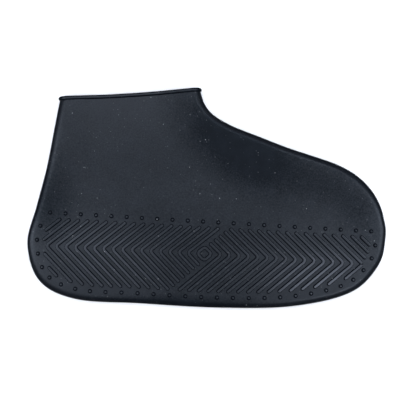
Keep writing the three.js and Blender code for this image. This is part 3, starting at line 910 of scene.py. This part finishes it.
# The area lights that show in the gloss: place, the point aimed at, width and depth, and the stage's power
LIGHTS = {
    "left light": ((-0.36, 0.0, 0.30), (-0.10, 0.0, 0.0), 0.16, 0.34, "side_lights"),
    "right light": ((0.36, 0.0, 0.30), (0.10, 0.0, 0.0), 0.16, 0.34, "side_lights"),
    "far light": ((0.05, 0.29, 0.46), (0.03, 0.05, 0.0), 0.40, 0.10, "far_light"),
    "near light": ((0.34, -0.40, 0.66), (0.06, -0.04, 0.0), 0.16, 0.16, "near_light"),
}

# The white light over the floor, which the gloss doesn't show: place, the point aimed at, width and depth
FILL_LIGHT = ((0.0, 0.0, 1.6), (0.0, 0.0, 0.0), 2.0, 2.0)
WHITE = (1.0, 1.0, 1.0)

FLOOR_SIZE = 40.0

# How steeply a direction points up where the sky begins to brighten and where it is brightest
SKY_RISE = (0.55, 1.0)

# Width of the camera's sensor in millimetres
SENSOR_WIDTH = 36.0


def floor_sheet(s):
    """A wide level square under the overshoe."""
    half = FLOOR_SIZE / 2
    mesh = bpy.data.meshes.new("floor")
    corners = [(-half, -half, 0.0), (half, -half, 0.0), (half, half, 0.0), (-half, half, 0.0)]
    mesh.from_pydata(corners, [], [(0, 1, 2, 3)])
    floor = bpy.data.objects.new("floor", mesh)
    bpy.context.scene.collection.objects.link(floor)
    shader = Shader("pale floor")
    shader.set(Base_Color=(*s.floor, 1), Roughness=1.0, Specular_IOR_Level=0.0)
    mesh.materials.append(shader.material)
    return floor


def softbox(name, place, target, width, depth, power, colour):
    """An area light aimed at a point."""
    light = bpy.data.lights.new(name, "AREA")
    light.shape, light.size, light.size_y = "RECTANGLE", width, depth
    light.energy, light.color = power, colour
    lamp = bpy.data.objects.new(name, light)
    lamp.location = place
    aim = Vector(target) - Vector(place)
    lamp.rotation_euler = aim.to_track_quat("-Z", "Y").to_euler()
    bpy.context.scene.collection.objects.link(lamp)
    return lamp


def sky(scene, s):
    """A world that is dim low down and brightens overhead."""
    world = scene.world or bpy.data.worlds.new("studio")
    scene.world = world
    world.use_nodes = True
    nodes = Nodes(world.node_tree)
    background = world.node_tree.nodes["Background"].inputs
    background["Color"].default_value = (*s.light, 1)
    up = nodes.split(nodes.node("ShaderNodeTexCoord", {}, [], "Generated"))[2]
    nodes.feed(background["Strength"], s.horizon + up.step(*SKY_RISE) * (s.sky - s.horizon))


def camera_overhead(scene, s):
    """A camera that looks straight down and sees the frame's width at the middle of the fold."""
    camera = bpy.data.cameras.new("camera")
    eye = bpy.data.objects.new("camera", camera)
    middle = scene.overshoe_sizes.thickness / 2 + scene.overshoe_sizes.relief
    eye.location = (*s.centre, s.camera_height)
    camera.sensor_width = SENSOR_WIDTH
    camera.lens = SENSOR_WIDTH * (s.camera_height - middle) / s.frame_width
    camera.clip_start = 0.01
    scene.collection.objects.link(eye)
    scene.camera = eye


# Operators


# The pieces' names and the functions that make their surfaces
PIECES = {
    "folded_shell": shell_surface,
    "collar_bead": bead_surface,
    "tread_ribs": rib_surface,
    "tread_studs": stud_surface,
}


class PieceOperator:
    """What the operators that build a piece share."""

    bl_options = {"REGISTER", "UNDO"}

    def build(self, context, name):
        vertices, faces = PIECES[name](Form(context.scene.overshoe_sizes))
        if not len(vertices):
            raise RuntimeError(name + " has no points")
        return add_piece(name, vertices, [face for block in faces for face in block])


class OVERSHOE_OT_shell(PieceOperator, Operator):
    """Build the hollow folded shell"""

    bl_idname = "overshoe.shell"
    bl_label = "Folded Shell"

    def execute(self, context):
        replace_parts(self.build(context, "folded_shell"), NODE)
        return {"FINISHED"}


class OVERSHOE_OT_bead(PieceOperator, Operator):
    """Build the bead round the collar"""

    bl_idname = "overshoe.bead"
    bl_label = "Collar Bead"

    def execute(self, context):
        self.build(context, "collar_bead")
        return {"FINISHED"}


class OVERSHOE_OT_ribs(PieceOperator, Operator):
    """Build the chevron ribs and the diamond ring"""

    bl_idname = "overshoe.ribs"
    bl_label = "Tread Ribs"

    def execute(self, context):
        self.build(context, "tread_ribs")
        return {"FINISHED"}


class OVERSHOE_OT_studs(PieceOperator, Operator):
    """Build the rows of domed studs"""

    bl_idname = "overshoe.studs"
    bl_label = "Tread Studs"

    def execute(self, context):
        self.build(context, "tread_studs")
        return {"FINISHED"}


class OVERSHOE_OT_finish(Operator):
    """Give every piece its rubber finish"""

    bl_idname = "overshoe.finish"
    bl_label = "Rubber Finish"
    bl_options = {"REGISTER", "UNDO"}

    def execute(self, context):
        finish, sizes = context.scene.overshoe_finish, context.scene.overshoe_sizes
        body = rubber(finish, sizes, "black silicone rubber")
        bead = rubber(finish, sizes, "black silicone rubber of the bead", bead=True)
        for name in PIECES:
            materials = bpy.data.objects[name].data.materials
            materials.clear()
            materials.append(bead if name == "collar_bead" else body)
        return {"FINISHED"}


class OVERSHOE_OT_stage(Operator):
    """Set up the floor, the lights and the camera"""

    bl_idname = "overshoe.stage"
    bl_label = "Stage"
    bl_options = {"REGISTER", "UNDO"}

    def execute(self, context):
        scene, s = context.scene, context.scene.overshoe_stage
        scene.view_settings.view_transform = "Standard"
        floor = floor_sheet(s)
        sky(scene, s)
        for name, (place, target, width, depth, power) in LIGHTS.items():
            softbox(name, place, target, width, depth, getattr(s, power), s.light)
        fill = softbox("fill light", *FILL_LIGHT, s.fill_light, WHITE)
        fill.visible_glossy = floor.visible_glossy = False
        camera_overhead(scene, s)
        return {"FINISHED"}


class OVERSHOE_PT_panel(Panel):
    """Sidebar panel with the sizes and the steps"""

    bl_idname = "OVERSHOE_PT_panel"
    bl_label = "Overshoe"
    bl_space_type = "VIEW_3D"
    bl_region_type = "UI"
    bl_category = "Overshoe"

    def draw(self, context):
        for group in (getattr(context.scene, name) for name in GROUPS):
            box = self.layout.box()
            for name in group.__annotations__:
                box.prop(group, name)
        for step in STEPS:
            self.layout.operator(step.bl_idname)


STEPS = (
    OVERSHOE_OT_shell,
    OVERSHOE_OT_bead,
    OVERSHOE_OT_ribs,
    OVERSHOE_OT_studs,
    OVERSHOE_OT_finish,
    OVERSHOE_OT_stage,
)
GROUPS = {"overshoe_sizes": OvershoeSizes, "overshoe_finish": OvershoeFinish, "overshoe_stage": OvershoeStage}


def register():
    for cls in (*GROUPS.values(), *STEPS, OVERSHOE_PT_panel):
        bpy.utils.register_class(cls)
    for name, group in GROUPS.items():
        setattr(bpy.types.Scene, name, PointerProperty(type=group))


def unregister():
    for name in GROUPS:
        delattr(bpy.types.Scene, name)
    for cls in (OVERSHOE_PT_panel, *reversed(STEPS), *reversed(list(GROUPS.values()))):
        bpy.utils.unregister_class(cls)


def main():
    register()
    bpy.ops.overshoe.shell()
    bpy.ops.overshoe.bead()
    bpy.ops.overshoe.ribs()
    bpy.ops.overshoe.studs()
    bpy.ops.overshoe.finish()
    bpy.ops.overshoe.stage()


if __name__ == "__main__":
    main()
